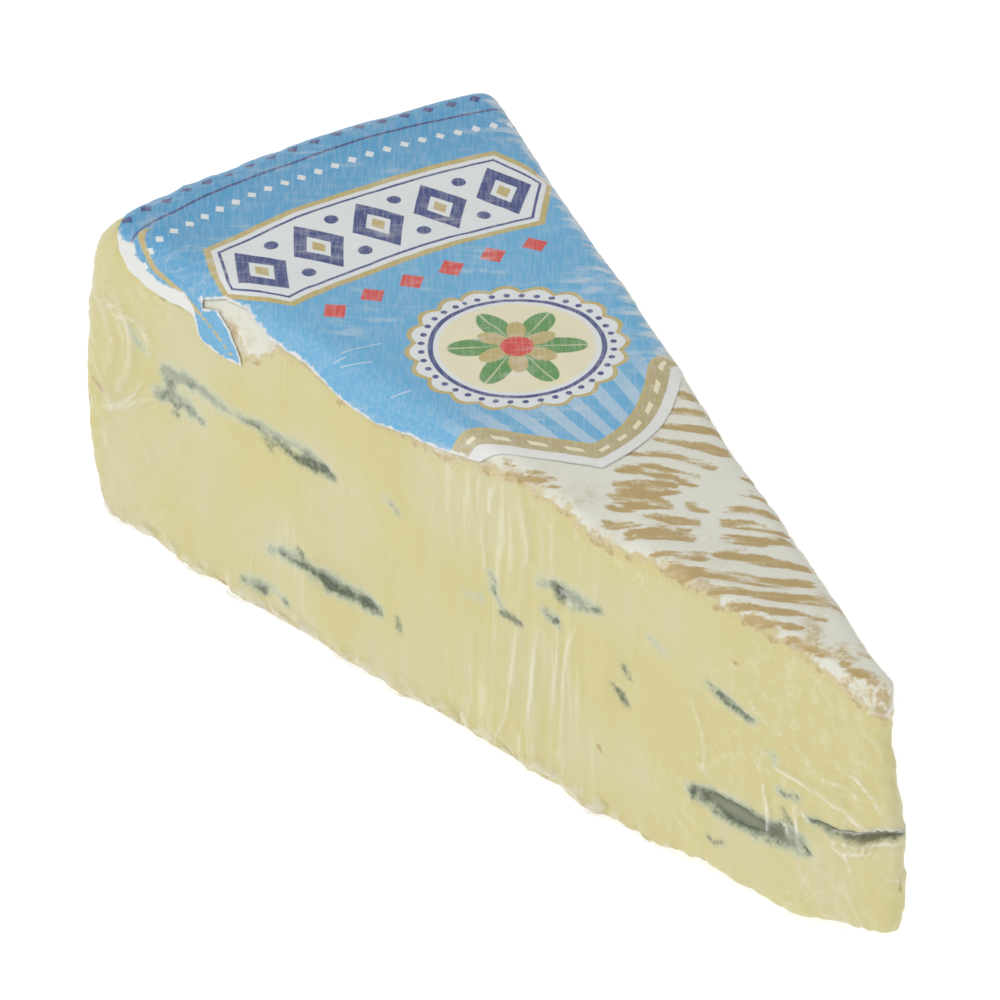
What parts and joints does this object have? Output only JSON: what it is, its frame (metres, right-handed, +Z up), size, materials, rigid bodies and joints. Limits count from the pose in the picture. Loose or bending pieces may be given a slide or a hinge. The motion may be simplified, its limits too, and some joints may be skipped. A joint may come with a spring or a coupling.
{
  "type": "blue brie wedge",
  "caption": "Wedge of soft blue brie with white rind and a printed label, in clear film: holds its shape when picked up and lies flat on a table.",
  "frame": {"origin": "on the table, under the middle of the wedge's bounding box", "axes": "+X from the rind side to the tip, +Y to the far cut face, +Z up"},
  "size_m": [0.1326, 0.0582, 0.0417],
  "materials": {
    "cheese": "satin",
    "label": "satin"
  },
  "bodies": {
    "root": {"cheese": "cheese", "label": "label"}
  },
  "joints": []
}
